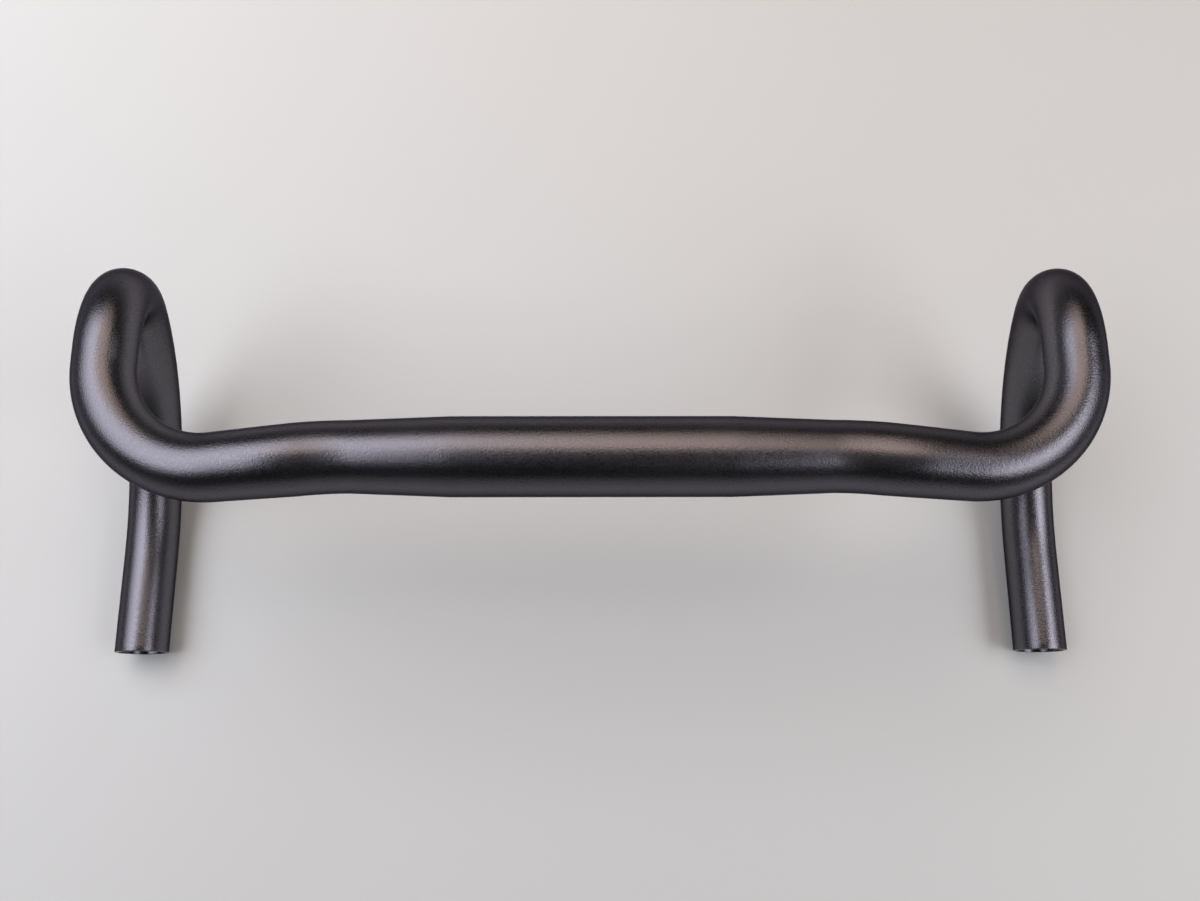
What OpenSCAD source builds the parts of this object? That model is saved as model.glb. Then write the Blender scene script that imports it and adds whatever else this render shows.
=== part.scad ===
// Compact drop handlebar: one drawn alloy tube, thick at the stem and slim in the hooks,
// bent into a low rise, two tight corners and two flared hooks. It is hollow from end to end.
// X runs across the bike, Y forward and Z up. The origin is the middle of the stem clamp.
// Each half is bent from the middle outward, as a tube bender does it: push the tube through,
// turn it about its own axis, bend it, and go on to the next bend.

/* [Tube] */
// Outside diameter where the stem clamps
clamp_d = 31.8; // [26:0.1:35]
// Outside diameter of the tops, beside the clamp
top_d = 28.8; // [24:0.1:31]
// Outside diameter of the hooks and drops, which levers and bar ends fit
grip_d = 23.8; // [22.2:0.1:24]
// Wall thickness
wall = 1.5; // [1.2:0.1:2.4]
// Chamfer inside and outside the sawn ends
end_chamfer = 0.3; // [0.1:0.05:0.5]

/* [Centre] */
// Length of the round clamp zone
clamp_w = 110; // [60:1:140]
// Length of the cone from the clamp zone down to the tops
cone_w = 39.5; // [15:0.5:60]

/* [Tops] */
// Radius of the bend that lifts and sweeps back the tops
rise_r = 85; // [60:1:140]
// Angle of that bend
rise_angle = 12.5; // [8:0.5:20]
// Direction of that bend, from 90 for straight up to 180 for straight back
rise_turn = 129; // [90:1:180]
// Straight between the rise and the bend that levels the tops again
rise_gap = 2; // [1:0.5:20]
// Radius of the levelling bend
level_r = 90; // [60:1:140]
// Angle of the levelling bend
level_angle = 10; // [6:0.5:20]
// Turn of the tube before the levelling bend
level_turn = 155; // [130:1:200]
// Straight between the tops and the corner
shoulder_gap = 16.5; // [1:0.5:40]

/* [Corner] */
// Radius of the corner from the tops into the ramp
corner_r = 42; // [32:1:70]
// Angle of the corner
corner_angle = 95; // [85:0.5:100]
// Turn of the tube before the corner
corner_turn = 78; // [60:1:100]

/* [Hook] */
// Straight on the ramp, ahead of the hook
ramp_w = 6; // [1:0.5:30]
// Radius of the front of the hook
hook_r = 33; // [28:1:60]
// Angle of the front of the hook
hook_angle = 109.5; // [80:0.5:130]
// Turn of the tube before the hook, which sets how far the drops flare out
hook_turn = -101.5; // [-125:0.5:-80]
// Straight between the hook's two bends
hook_gap = 2; // [1:0.5:20]
// Radius of the lower, slower bend of the hook
drop_r = 100; // [70:1:150]
// Angle of the lower bend
drop_angle = 73; // [40:0.5:90]
// Straight end of the drop
drop_w = 46.5; // [30:0.5:90]

/* [Hidden] */
clamp_r = clamp_d / 2;
top_r = top_d / 2;
grip_r = grip_d / 2;
centre_w = clamp_w / 2 + cone_w;

// A bend comes off the former this much slimmer than the straights it runs into.
// It is more than a mesh's flats cut off a circle, so the two rims of the step stay apart.
neck = 0.05;
// Length that a bend's ends run on inside those straights
lap = 0.2;
// Length that a hollow is cut past an open end
clear = 1;
// Sides and bend angle of each step of the tapered corner
sides = 32;
step_angle = 6;

$fn = 96;

// Each row is one push, turn and bend: straight ahead, bend radius, bend angle, turn before it.
// The last row is the straight end, which has no bend.
ROUTE = [
    [centre_w, rise_r, rise_angle, rise_turn],
    [rise_gap, level_r, level_angle, level_turn],
    [shoulder_gap, corner_r, corner_angle, corner_turn],
    [ramp_w, hook_r, hook_angle, hook_turn],
    [hook_gap, drop_r, drop_angle, 0],
    [drop_w, 0, 0, 0]
];

// The corner's row is the third before the straight end's, and the levelling bend's comes before it.
LAST = len(ROUTE) - 1;
CORNER = LAST - 3;
LEVEL = CORNER - 1;

// Frames are 4x4 matrices. In each the tube runs along Z and bends towards X.
START = [[0, 0, 1, 0], [1, 0, 0, 0], [0, 1, 0, 0], [0, 0, 0, 1]];

function ahead(w) = [[1, 0, 0, 0], [0, 1, 0, 0], [0, 0, 1, w], [0, 0, 0, 1]];

function turned(a) = [
    [cos(a), -sin(a), 0, 0],
    [sin(a), cos(a), 0, 0],
    [0, 0, 1, 0],
    [0, 0, 0, 1]
];

function bent(r, a) = [
    [cos(a), 0, sin(a), r * (1 - cos(a))],
    [0, 1, 0, 0],
    [-sin(a), 0, cos(a), r * sin(a)],
    [0, 0, 0, 1]
];

// Frame at the start of row i's straight, and of row i's bend
function straight_frame(i) = i == 0 ? START : bend_frame(i - 1) * bent(ROUTE[i - 1][1], ROUTE[i - 1][2]);
function bend_frame(i) = straight_frame(i) * ahead(ROUTE[i][0]) * turned(ROUTE[i][3]);

function arc_w(i) = ROUTE[i][1] * ROUTE[i][2] * PI / 180;

// The bar is tilted about X until the straight drop ends lie level.
drop_dir = straight_frame(LAST) * [0, 0, 1, 0];
pitch = 180 - atan2(drop_dir[2], drop_dir[1]);

// The tube draws down from the tops to the grip size between the levelling bend and the ramp.
taper_w = arc_w(LEVEL) + ROUTE[CORNER][0] + arc_w(CORNER);

function tapered_r(w) = top_r + (grip_r - top_r) * w / taper_w;

// Rings along one bend: a frame and the tube's radius there, w being the taper's length so far.
// The turn is taken back out of each frame, so that the rings' corners stay in line.
// A ring is skipped where it would lie in the end face of a straight.
function bend_rings(i, w, skip_first, skip_last) = [
    for (n = ceil(ROUTE[i][2] / step_angle), k = skip_first; k <= n - skip_last; k = k + 1)
    let (a = ROUTE[i][2] * k / n)
    [
        bend_frame(i) * bent(ROUTE[i][1], a) * turned(-turn_sum(i)),
        tapered_r(w + arc_w(i) * k / n)
    ]
];

function turn_sum(i) = i <= LEVEL ? 0 : ROUTE[i][3] + turn_sum(i - 1);

TAPER_RINGS = concat(
    [[bend_frame(LEVEL) * ahead(-lap), top_r]],
    bend_rings(LEVEL, 0, 1, 0),
    bend_rings(CORNER, arc_w(LEVEL) + ROUTE[CORNER][0], 0, 1),
    [[straight_frame(CORNER + 1) * turned(-turn_sum(CORNER)) * ahead(lap), grip_r]]
);

function ring_points(ring, skin) = [
    for (k = [0 : sides - 1])
    let (
        r = ring[1] - skin - neck,
        a = 360 * k / sides,
        p = ring[0] * [r * cos(a), r * sin(a), 0, 1]
    )
    [p[0], p[1], p[2]]
];

// In each module below, skin is how far its surface lies inside the tube's outside.

// Middle of the bar, turned about X: the clamp zone and the cone on each side of it
module centre_piece(skin) {
    rotate([0, 90, 0])
    rotate_extrude()
    polygon([
        [0, -centre_w],
        [top_r - skin, -centre_w],
        [clamp_r - skin, -clamp_w / 2],
        [clamp_r - skin, clamp_w / 2],
        [top_r - skin, centre_w],
        [0, centre_w]
    ]);
}

module straight_piece(i, r) {
    multmatrix(straight_frame(i))
    cylinder(h = ROUTE[i][0], r = r);
}

// A bend of one size: part of a ring that starts and ends inside its neighbours
module bend_piece(i, r) {
    lap_angle = lap / ROUTE[i][1] * 180 / PI;
    multmatrix(bend_frame(i))
    translate([ROUTE[i][1], 0, 0])
    rotate([90, 0, 180])
    rotate([0, 0, -lap_angle])
    rotate_extrude(angle = ROUTE[i][2] + 2 * lap_angle)
    translate([ROUTE[i][1], 0])
    circle(r = r - neck);
}

// Loft through the rings of the levelling bend and the corner, while the tube slims
module tapered_piece(skin) {
    last = len(TAPER_RINGS) - 1;
    polyhedron(
        points = [for (ring = TAPER_RINGS) each ring_points(ring, skin)],
        faces = [
            [for (k = [0 : sides - 1]) k],
            [for (k = [sides - 1 : -1 : 0]) last * sides + k],
            for (j = [0 : last - 1], k = [0 : sides - 1], side = [0, 1])
            let (
                a = j * sides + k,
                b = j * sides + (k + 1) % sides
            )
            side == 0 ? [a, a + sides, b] : [b, a + sides, b + sides]
        ]
    );
}

// Straight end of the drop. The outside has its edge broken at the sawn end.
module drop_end() {
    multmatrix(straight_frame(LAST))
    rotate_extrude()
    polygon([
        [0, 0],
        [grip_r, 0],
        [grip_r, drop_w - end_chamfer],
        [grip_r - end_chamfer, drop_w],
        [0, drop_w]
    ]);
}

// Hollow of the straight end, opening to a chamfer and cut past the end
module drop_end_hollow() {
    bore_r = grip_r - wall;
    multmatrix(straight_frame(LAST))
    rotate_extrude()
    polygon([
        [0, 0],
        [bore_r, 0],
        [bore_r, drop_w - end_chamfer],
        [bore_r + end_chamfer, drop_w],
        [bore_r + end_chamfer, drop_w + clear],
        [0, drop_w + clear]
    ]);
}

// Everything between the centre piece and the straight end, on the right half
module half_run(skin) {
    bend_piece(0, top_r - skin);
    straight_piece(LEVEL, top_r - skin);
    tapered_piece(skin);
    straight_piece(CORNER + 1, grip_r - skin);
    bend_piece(CORNER + 1, grip_r - skin);
    straight_piece(CORNER + 2, grip_r - skin);
    bend_piece(CORNER + 2, grip_r - skin);
}

module both_sides() {
    children();
    mirror([1, 0, 0])
    children();
}

module handlebar() {
    color([0.09, 0.09, 0.1])
    rotate([pitch, 0, 0])
    difference() {
        union() {
            centre_piece(0);
            both_sides() {
                half_run(0);
                drop_end();
            }
        }
        union() {
            centre_piece(wall);
            both_sides() {
                half_run(wall);
                drop_end_hollow();
            }
        }
    }
}

handlebar();
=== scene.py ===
# %% [markdown]
# # A drop handlebar in black anodised alloy
#
# A drop bar is a single drawn alloy tube. It is thick where the stem clamps it, slims down through
# the corners, and ends in two hooks that the rider holds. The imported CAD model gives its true
# shape and place, and is loaded first. Everything here is in metres, in the model's own frame:
# X across the bike, Y forward, Z up, with the middle of the stem clamp at the origin.

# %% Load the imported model
import math

import bmesh
import bpy
from mathutils import Matrix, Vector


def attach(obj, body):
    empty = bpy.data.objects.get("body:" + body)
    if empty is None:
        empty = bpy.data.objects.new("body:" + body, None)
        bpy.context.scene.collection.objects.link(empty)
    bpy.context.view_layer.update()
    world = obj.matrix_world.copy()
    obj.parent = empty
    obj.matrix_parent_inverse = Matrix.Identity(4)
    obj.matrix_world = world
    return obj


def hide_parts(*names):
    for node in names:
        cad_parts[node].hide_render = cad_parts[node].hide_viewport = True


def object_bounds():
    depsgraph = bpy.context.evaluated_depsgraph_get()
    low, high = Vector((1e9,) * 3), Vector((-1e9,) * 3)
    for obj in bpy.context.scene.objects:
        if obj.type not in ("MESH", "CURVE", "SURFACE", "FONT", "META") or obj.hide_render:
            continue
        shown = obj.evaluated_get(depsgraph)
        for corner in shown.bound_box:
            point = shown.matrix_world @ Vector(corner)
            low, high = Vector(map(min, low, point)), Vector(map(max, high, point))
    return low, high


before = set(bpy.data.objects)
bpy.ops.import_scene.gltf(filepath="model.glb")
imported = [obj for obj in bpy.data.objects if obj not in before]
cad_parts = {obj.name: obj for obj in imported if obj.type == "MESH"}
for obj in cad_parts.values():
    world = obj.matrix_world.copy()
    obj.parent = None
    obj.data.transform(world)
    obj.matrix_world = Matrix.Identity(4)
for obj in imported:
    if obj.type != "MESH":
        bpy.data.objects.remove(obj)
cad_low, cad_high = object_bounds()
print("CAD box in mm:", [round(1000 * v, 1) for v in (*cad_low, *cad_high)])

# %% [markdown]
# ## The camera
#
# The photograph is taken from close by, a little behind the bar and well above it. A wide lens
# that near makes the drop ends look large and turns the hooks outwards, so the distance matters
# as much as the direction. The place and lens were fitted to the bar's outline. The numbers are
# the real distance of about 40 cm and a 30 mm lens on a 36 mm wide frame.

# %% Put the camera in its fitted place
lens = bpy.data.cameras.new("close_wide_lens")
lens.sensor_fit = "HORIZONTAL"
lens.sensor_width = 36
lens.lens = 30
lens.clip_start = 0.01
camera = bpy.data.objects.new("camera", lens)
camera.location = (0.00018, -0.10175, 0.37852)
camera.rotation_euler = [math.radians(a) for a in (15.398, -0.396, -0.160)]
bpy.context.scene.collection.objects.link(camera)
bpy.context.scene.camera = camera
print("camera stands", round(camera.location.length, 3), "m from the stem clamp")

# %% [markdown]
# ## The tube's sizes
#
# A tube bender's sheet lists one push, turn and bend after another. That list is all the shape
# there is, so the same list is written here as in the CAD source. The radii are half of the
# standard sizes: 31.8 mm across at the stem and 23.8 mm in the hooks, where brake levers fit.

# %% Write down the bender's sheet
MM = 0.001
CLAMP_R = 15.9 * MM
TOP_R = 14.4 * MM
GRIP_R = 11.9 * MM
WALL = 1.5 * MM
CLAMP_HALF = 55 * MM
CONE = 39.5 * MM
DROP_END = 46.5 * MM
EDGE_BREAK = 0.3 * MM

# turn of the tube, bend radius, bend angle, straight after it
RISE = (129, 85 * MM, 12.5, 2 * MM)
LEVELLING = (155, 90 * MM, 10, 16.5 * MM)
CORNER = (78, 42 * MM, 95, 6 * MM)
HOOK = (-101.5, 33 * MM, 109.5, 2 * MM)
DROP = (0, 100 * MM, 73, DROP_END)

# %% [markdown]
# ## Bending the tube
#
# The CAD mesh has flat facets where the tube slims in the corners, and a satin finish shows each
# one as a stripe. So the tube is drawn again here with a finer skin. There are two common ways to
# do it: a curve with a round bevel, or a ring that is extruded and spun along. The ring was
# chosen, because its radius can shrink at every step and it lies exactly where the bender's sheet
# puts it. A tube in the making is a small record: its mesh, its open ring, the place and direction
# of that ring, and its radius. The tube runs along the ring's own Z and bends towards its X.
# Each step leaves one new ring of open edges, and the next step goes on from there.

# %% Start a tube with a ring at the middle of the bar
SIDES = 96
STEP = 3 * MM
STEP_ANGLE = 2.5
ACROSS = Matrix(((0, 0, 1, 0), (1, 0, 0, 0), (0, 1, 0, 0), (0, 0, 0, 1)))


def begin(mesh, radius):
    """A round open ring in the plane between the bar's two halves."""
    made = bmesh.ops.create_circle(
        mesh, cap_ends=False, segments=SIDES, radius=radius, matrix=ACROSS
    )
    ring = list(dict.fromkeys(e for v in made["verts"] for e in v.link_edges))
    return {"mesh": mesh, "ring": ring, "place": ACROSS.copy(), "radius": radius}


def open_ring(made):
    """The open edges among all that one step made."""
    return [g for g in made if isinstance(g, bmesh.types.BMEdge) and g.is_boundary]


def corners(ring):
    """The corners of a ring of edges, each one once."""
    return list(dict.fromkeys(v for e in ring for v in e.verts))


def draw_down(tube, radius):
    """Scales the open ring about its own centre, as a drawing die slims a tube."""
    share = radius / tube["radius"]
    home = Matrix.Translation(-tube["place"].translation)
    bmesh.ops.scale(tube["mesh"], vec=(share,) * 3, space=home, verts=corners(tube["ring"]))
    tube["radius"] = radius


# %% [markdown]
# A push moves the ring straight ahead. It is done in steps of a few millimetres, not in one, so
# that the shading turns within one step where the cone starts, and not along the whole cone.

# %% Push the tube straight ahead
def push(tube, length, end_radius=None):
    """Extrudes the ring straight ahead, and slims it evenly to end_radius."""
    steps = math.ceil(length / STEP)
    start_radius = tube["radius"]
    ahead = tube["place"].to_3x3().col[2] * (length / steps)
    for k in range(steps):
        made = bmesh.ops.extrude_edge_only(tube["mesh"], edges=tube["ring"])["geom"]
        verts = [g for g in made if isinstance(g, bmesh.types.BMVert)]
        tube["ring"] = open_ring(made)
        bmesh.ops.translate(tube["mesh"], vec=ahead, verts=verts)
        tube["place"] = Matrix.Translation(ahead) @ tube["place"]
        if end_radius:
            draw_down(tube, start_radius + (end_radius - start_radius) * (k + 1) / steps)


# %% [markdown]
# A bend spins the ring about an axis that stands beside the tube, one bend radius away. The ring
# is first turned about the tube's own axis, which sets the direction of the bend. Turning the
# record of its place is enough, because a round ring looks the same after it.

# %% Bend the tube round a former
def bend(tube, turn, radius, angle, end_radius=None):
    """Spins the ring round a former of that radius, and slims it evenly to end_radius."""
    tube["place"] = tube["place"] @ Matrix.Rotation(math.radians(turn), 4, "Z")
    steps = math.ceil(angle / STEP_ANGLE)
    start_radius = tube["radius"]
    step = math.radians(angle / steps)
    to_former = Matrix.Translation((radius, 0, 0))
    former = tube["place"] @ to_former
    move = to_former @ Matrix.Rotation(step, 4, "Y") @ to_former.inverted()
    for k in range(steps):
        made = bmesh.ops.spin(
            tube["mesh"], geom=corners(tube["ring"]) + tube["ring"], cent=former.translation,
            axis=former.to_3x3().col[1], angle=step, steps=1,
        )["geom_last"]
        tube["ring"] = open_ring(made)
        tube["place"] = tube["place"] @ move
        if end_radius:
            draw_down(tube, start_radius + (end_radius - start_radius) * (k + 1) / steps)


# %% [markdown]
# The whole half follows. The taper runs evenly from the levelling bend to the end of the corner,
# so each of its three stretches ends at its share of the way from the top's radius to the grip's.

# %% Follow the bender's sheet from the middle to the sawn end
def arc(row):
    """Length of a row's bend along the middle of the tube."""
    return row[1] * math.radians(row[2])


def half_bar(mesh, inset):
    """One half of the bar's skin, lying inset inside the outside of the tube."""
    taper = arc(LEVELLING) + LEVELLING[3] + arc(CORNER)
    after_levelling = TOP_R + (GRIP_R - TOP_R) * arc(LEVELLING) / taper
    before_corner = GRIP_R + (TOP_R - GRIP_R) * arc(CORNER) / taper
    tube = begin(mesh, CLAMP_R - inset)
    push(tube, CLAMP_HALF)
    push(tube, CONE, TOP_R - inset)
    bend(tube, *RISE[:3])
    push(tube, RISE[3])
    bend(tube, *LEVELLING[:3], after_levelling - inset)
    push(tube, LEVELLING[3], before_corner - inset)
    bend(tube, *CORNER[:3], GRIP_R - inset)
    push(tube, CORNER[3])
    bend(tube, *HOOK[:3])
    push(tube, HOOK[3])
    bend(tube, *DROP[:3])
    push(tube, DROP[3])
    return tube


bar = bmesh.new()
outside = half_bar(bar, 0)
hollow_from = len(bar.faces)
hollow = half_bar(bar, WALL)
print("rings of", SIDES, "corners in one half:", hollow_from // SIDES)

# %% [markdown]
# ## The sawn end
#
# The two skins meet in a flat ring, where a saw cut the tube to length. It is made by one more
# ring of the outside skin, drawn straight inward until it lies on the end of the hollow, and the
# two are welded. Bridging the two loops is the other way, but it can join each corner to the
# opposite one, which shuts the mouth. The hollow's faces then turn over, so that all of them face
# out of the metal. Each face also gets the slot of its own finish.

# %% Saw the tube off
BLASTED_SLOT, SAWN_SLOT, DRAWN_SLOT = range(3)
WELD = 0.01 * MM

bar.faces.ensure_lookup_table()
for face in bar.faces[:hollow_from]:
    face.material_index = BLASTED_SLOT
for face in bar.faces[hollow_from:]:
    face.material_index = DRAWN_SLOT
made = bmesh.ops.extrude_edge_only(bar, edges=outside["ring"])["geom"]
outside["ring"] = open_ring(made)
for face in [g for g in made if isinstance(g, bmesh.types.BMFace)]:
    face.material_index = SAWN_SLOT
draw_down(outside, hollow["radius"])
bmesh.ops.remove_doubles(bar, verts=bar.verts, dist=WELD)
bmesh.ops.recalc_face_normals(bar, faces=bar.faces)

# %% [markdown]
# Both edges of the ring are broken with a file, which leaves a fine bright line in the
# photograph. A bevel of three segments turns the light as that filed edge does. The edges are
# found as those between two slots, and the bevel passes the slots on.

# %% Break the two edges
rims = [e for e in bar.edges if len({f.material_index for f in e.link_faces}) == 2]
bmesh.ops.bevel(
    bar, geom=rims, offset=EDGE_BREAK, offset_type="OFFSET", segments=3, profile=0.5,
    affect="EDGES", material=-1,
)
for face in bar.faces:
    face.smooth = True
print("edges broken:", len(rims))
print("faces in the sawn ring:", sum(f.material_index == SAWN_SLOT for f in bar.faces))

# %% [markdown]
# ## Both halves, set level
#
# The bar is the same on both sides, so the half is mirrored, and the two halves are joined where
# they meet in the middle. Then the bar is tilted about X until the straight drop ends lie level,
# as the CAD source does.

# %% Mirror the half and level the drops
SEAM = 0.001 * MM

last_way = outside["place"].to_3x3().col[2]
pitch = math.pi - math.atan2(last_way.z, last_way.y)
bmesh.ops.mirror(
    bar, geom=bar.verts[:] + bar.edges[:] + bar.faces[:], axis="X",
    matrix=Matrix.Identity(4), merge_dist=SEAM,
)
bmesh.ops.rotate(bar, cent=(0, 0, 0), matrix=Matrix.Rotation(pitch, 3, "X"), verts=bar.verts)
bmesh.ops.recalc_face_normals(bar, faces=bar.faces)
open_edges = sum(not e.is_manifold for e in bar.edges)
print("pitch in degrees:", round(math.degrees(pitch), 4), "open edges:", open_edges)
print("volume in mm3:", round(bar.calc_volume() * 1e9))

# %% [markdown]
# The steps above leave the faces in an order that changes from run to run. They are numbered anew
# by their corners, so that each run gives the same mesh. The finished skin rides on the only body
# and is shown in place of the CAD tube.

# %% Number the faces and hand the skin over
bar.verts.index_update()
ordered = sorted(bar.faces, key=lambda face: sorted(v.index for v in face.verts))
for number, face in enumerate(ordered):
    face.index = number
bar.faces.sort()

skin = bpy.data.meshes.new("bent_tube")
bar.to_mesh(skin)
bar.free()
bent_tube = bpy.data.objects.new("bent_tube", skin)
bpy.context.scene.collection.objects.link(bent_tube)
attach(bent_tube, "root")
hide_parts("handlebar")
print("triangles:", sum(len(p.vertices) - 2 for p in skin.polygons))

# %% [markdown]
# ## Helpers for the finishes
#
# Colours are picked as they look on a screen, in sRGB, and shaders work in linear light, so one
# function turns the first into the second. Another adds a node with its settings and links, to a
# material or to the room around.

# %% Colours and nodes
def linear(hex_colour):
    """An sRGB hex colour as linear RGBA."""
    parts = [int(hex_colour[k:k + 2], 16) / 255 for k in (1, 3, 5)]
    return (*[c / 12.92 if c <= 0.04045 else ((c + 0.055) / 1.055) ** 2.4 for c in parts], 1)


def add(owner, kind, inputs, **settings):
    """Adds a node. inputs maps a socket's name or number to a value or to another node's output."""
    made = owner.node_tree.nodes.new(kind)
    for name, value in settings.items():
        setattr(made, name, value)
    for socket, value in inputs.items():
        if isinstance(value, bpy.types.NodeSocket):
            owner.node_tree.links.new(value, made.inputs[socket])
        else:
            made.inputs[socket].default_value = value
    return made


def new_material(name):
    """A material without any node."""
    material = bpy.data.materials.new(name)
    material.use_nodes = True
    material.node_tree.nodes.clear()
    return material


# %% [markdown]
# ## The blasted and anodised outside
#
# The tube is drawn from 6061 alloy, blasted with fine glass beads and anodised black. Blasting
# leaves a skin of tiny dents, so the finish is matt from afar and sparkles faintly in its
# highlights. The dye darkens the metal without hiding it: seen straight on, an eighth of the
# light still comes back, which is three times as much as from black paint. So the shader is a
# metal with a dark colour. A smooth metal turns bright at a glancing view. This one doesn't,
# because its dents shade one another there, so the shader's edge tint is dark. The real dents are
# about 0.1 mm wide. They are drawn at 0.7 mm, which is between one and two pixels of the
# photograph, so that they show.

# %% Make the blasted black finish
DENT = 0.7 * MM
DENT_DEPTH = 0.09 * MM
PATCH = 28 * MM

blasted = new_material("bead_blasted_black_anodised_6061")
where = add(blasted, "ShaderNodeTexCoord", {}).outputs["Object"]
dents = add(
    blasted, "ShaderNodeTexNoise",
    {"Vector": where, "Scale": 1 / DENT, "Detail": 2.0, "Roughness": 0.6},
).outputs["Fac"]
patches = add(
    blasted, "ShaderNodeTexNoise",
    {"Vector": where, "Scale": 1 / PATCH, "Detail": 3.0, "Roughness": 0.55},
).outputs["Fac"]
tone = add(
    blasted, "ShaderNodeMix",
    {"Factor": patches, 6: linear("#615F64"), 7: linear("#68666B")},
    data_type="RGBA",
).outputs[2]
dull = add(
    blasted, "ShaderNodeMapRange",
    {"Value": patches, "From Min": 0.3, "From Max": 0.7, "To Min": 0.28, "To Max": 0.32},
).outputs[0]
glints = add(
    blasted, "ShaderNodeMapRange",
    {"Value": dents, "From Min": 0.3, "From Max": 0.7, "To Min": -0.05, "To Max": 0.05},
).outputs[0]
roughness = add(blasted, "ShaderNodeMath", {0: dull, 1: glints}, operation="ADD").outputs[0]
bump = add(
    blasted, "ShaderNodeBump", {"Strength": 1.0, "Distance": DENT_DEPTH, "Height": dents}
).outputs[0]
surface = add(
    blasted, "ShaderNodeBsdfPrincipled",
    {
        "Base Color": tone, "Metallic": 1.0, "Roughness": roughness, "Normal": bump,
        "Specular Tint": linear("#88878A"),
    },
).outputs[0]
add(blasted, "ShaderNodeOutputMaterial", {"Surface": surface})
print("dents of", round(DENT / MM, 2), "mm, drawn coarse")

# %% [markdown]
# ## The sawn ring
#
# The ring at each end was cut after blasting and anodised with the rest, so it is smoother and
# brighter than the outside, with saw lines across it. Real ones are about 0.4 mm apart. They are
# drawn 2.5 mm apart, so that they show in a ring only 1.5 mm wide. The wave texture runs through
# 20 radians in each unit of its space, which gives its scale.

# %% Make the sawn finish
SAW_LINE = 2.513 * MM
SAW_DEPTH = 0.02 * MM
WAVE_RADIANS = 20

sawn = new_material("sawn_and_anodised_edge")
where = add(sawn, "ShaderNodeTexCoord", {}).outputs["Object"]
lines = add(
    sawn, "ShaderNodeTexWave",
    {
        "Vector": where, "Scale": math.tau / (WAVE_RADIANS * SAW_LINE),
        "Distortion": 1.5, "Detail": 2.0,
    },
    bands_direction="X",
).outputs["Fac"]
tone = add(
    sawn, "ShaderNodeMix",
    {"Factor": lines, 6: linear("#59575B"), 7: linear("#757377")},
    data_type="RGBA",
).outputs[2]
bump = add(
    sawn, "ShaderNodeBump", {"Strength": 0.4, "Distance": SAW_DEPTH, "Height": lines}
).outputs[0]
surface = add(
    sawn, "ShaderNodeBsdfPrincipled",
    {"Base Color": tone, "Metallic": 1.0, "Roughness": 0.25, "Normal": bump},
).outputs[0]
add(sawn, "ShaderNodeOutputMaterial", {"Surface": surface})

# %% [markdown]
# ## The hollow
#
# No beads reach the inside, so it keeps the skin that the drawing die left and is a little smoother
# than the outside. It takes the black dye in faint blotches about a millimetre wide.

# %% Make the drawn finish of the hollow
BLOTCH = 1.2 * MM

drawn = new_material("drawn_and_anodised_bore")
where = add(drawn, "ShaderNodeTexCoord", {}).outputs["Object"]
blotches = add(
    drawn, "ShaderNodeTexNoise",
    {"Vector": where, "Scale": 1 / BLOTCH, "Detail": 2.0, "Roughness": 0.5},
).outputs["Fac"]
tone = add(
    drawn, "ShaderNodeMix",
    {"Factor": blotches, 6: linear("#4C4B50"), 7: linear("#5C5B60")},
    data_type="RGBA",
).outputs[2]
roughness = add(
    drawn, "ShaderNodeMapRange", {"Value": blotches, "To Min": 0.2, "To Max": 0.28}
).outputs[0]
surface = add(
    drawn, "ShaderNodeBsdfPrincipled",
    {"Base Color": tone, "Metallic": 1.0, "Roughness": roughness},
).outputs[0]
add(drawn, "ShaderNodeOutputMaterial", {"Surface": surface})

finishes = {BLASTED_SLOT: blasted, SAWN_SLOT: sawn, DRAWN_SLOT: drawn}
for slot in sorted(finishes):
    skin.materials.append(finishes[slot])
print("finishes:", [m.name for m in skin.materials])

# %% [markdown]
# ## The floor
#
# The floor is one pale, level board at the height of the bar's lowest point, and the bar's soft
# shadow falls on it.

# %% Lay the floor
FLOOR_HALF = 1.3

floor_mesh = bmesh.new()
bmesh.ops.create_grid(floor_mesh, x_segments=1, y_segments=1, size=FLOOR_HALF)
bmesh.ops.translate(floor_mesh, vec=(0, 0, cad_low.z), verts=floor_mesh.verts)
floor_data = bpy.data.meshes.new("floor")
floor_mesh.to_mesh(floor_data)
floor_mesh.free()
floor = bpy.data.objects.new("floor", floor_data)
bpy.context.scene.collection.objects.link(floor)

painted = new_material("pale_painted_board")
surface = add(
    painted, "ShaderNodeBsdfPrincipled",
    {"Base Color": linear("#D1D2CF"), "Roughness": 0.9, "Specular IOR Level": 0.2},
).outputs[0]
add(painted, "ShaderNodeOutputMaterial", {"Surface": surface})
floor_data.materials.append(painted)

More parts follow.
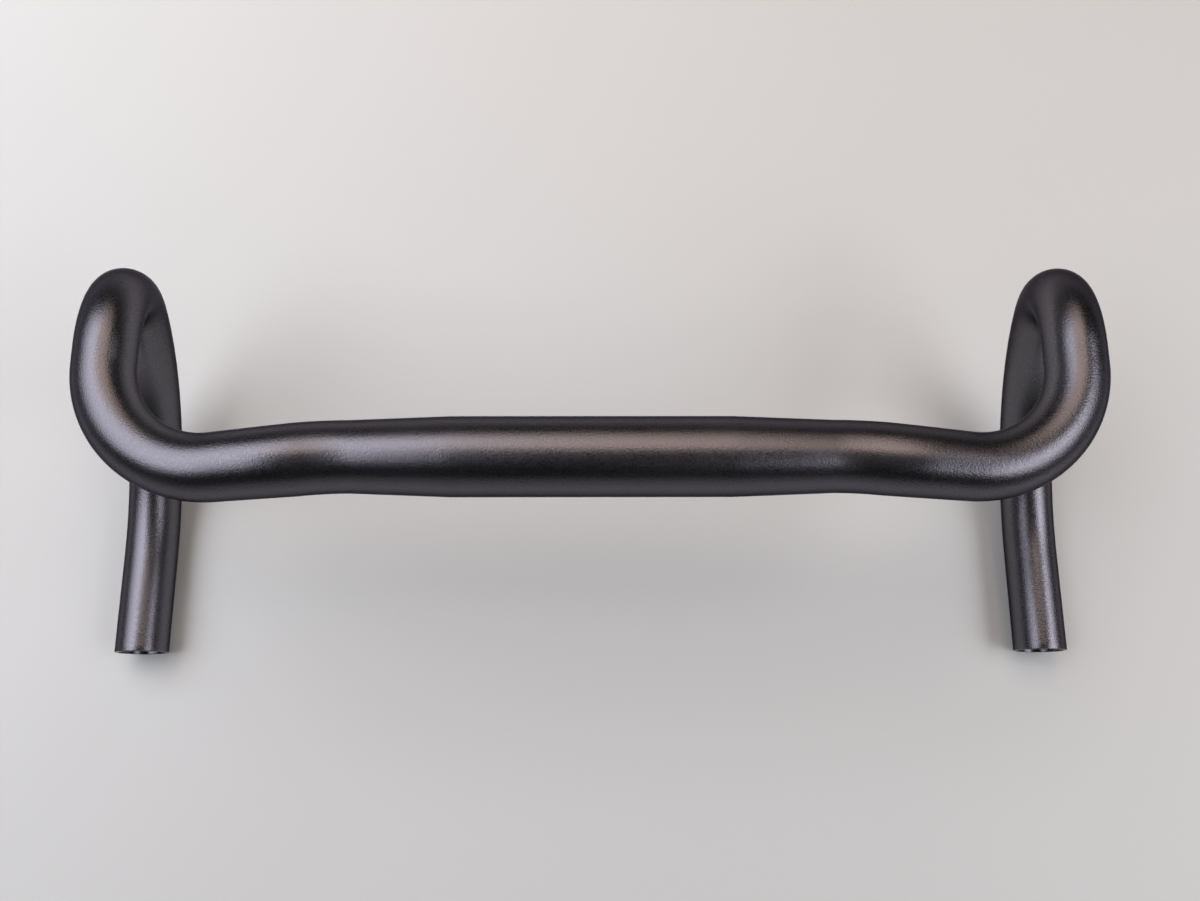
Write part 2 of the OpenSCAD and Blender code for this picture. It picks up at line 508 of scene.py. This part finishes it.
# %% [markdown]
# ## The light
#
# A black metal shows little more than what it reflects. The photograph has a broad soft band
# along the tops, dimmer in the middle, and two bands along each drop, the outer one brighter.
# Three softboxes give that, hung side by side a metre above the bar. The two at the sides are
# wide and make the bands on the hooks and the outer tops. The small, weaker one in the middle
# joins them. The left and the middle one reach further forward than back, because the band lies
# on the front half of the tops, and the right one hangs further back, as the band drops there.
# The gap beside the middle one leaves the dark line between the two bands of each drop. The
# outer cloths are a little cool and the middle one is warm, as the band is bluish at the hooks
# and brownish along the tops.

# %% Hang three softboxes
HANG = 1.0
BEAM_ANGLE = 130


def softbox(name, place, size, yaw, watts, cloth):
    """A rectangular lamp that hangs level over place, turned by yaw, and shines straight down."""
    data = bpy.data.lights.new(name, "AREA")
    data.color = linear(cloth)[:3]
    data.shape = "RECTANGLE"
    data.size, data.size_y = size
    data.spread = math.radians(BEAM_ANGLE)
    data.energy = watts
    lamp = bpy.data.objects.new(name, data)
    lamp.location = (*place, HANG)
    lamp.rotation_euler.z = math.radians(yaw)
    bpy.context.scene.collection.objects.link(lamp)


softbox("softbox_left", (-1.26, 0.37), (1.90, 1.60), -14, 23.5, "#F4F5FF")
softbox("softbox_middle", (0.07, 0.75), (0.82, 1.26), -4, 4.4, "#FFE8D6")
softbox("softbox_right", (1.42, -0.42), (1.50, 1.28), -11, 20.6, "#F9F8FF")

# %% [markdown]
# The room around is a pale backdrop at eye level that turns dark above, as in a studio. A bright
# ceiling would turn the black bar grey, since the bar's upper side reflects it. The height of a
# direction is its Z, 0 at eye level and 1 straight up.

# %% Paint the room
BACKDROP, CEILING = 0.4, 0.015
CEILING_FROM = 0.25

world = bpy.data.worlds.new("pale_backdrop_dark_ceiling")
world.use_nodes = True
background = world.node_tree.nodes["Background"]
background.inputs["Color"].default_value = linear("#F2F2F4")
way = add(world, "ShaderNodeTexCoord", {}).outputs["Generated"]
height = add(world, "ShaderNodeSeparateXYZ", {0: way}).outputs["Z"]
level = add(
    world, "ShaderNodeMapRange",
    {"Value": height, "From Max": CEILING_FROM, "To Min": BACKDROP, "To Max": CEILING},
).outputs[0]
world.node_tree.links.new(level, background.inputs["Strength"])
bpy.context.scene.world = world

# %% Set the view
bpy.context.scene.view_settings.view_transform = "Standard"
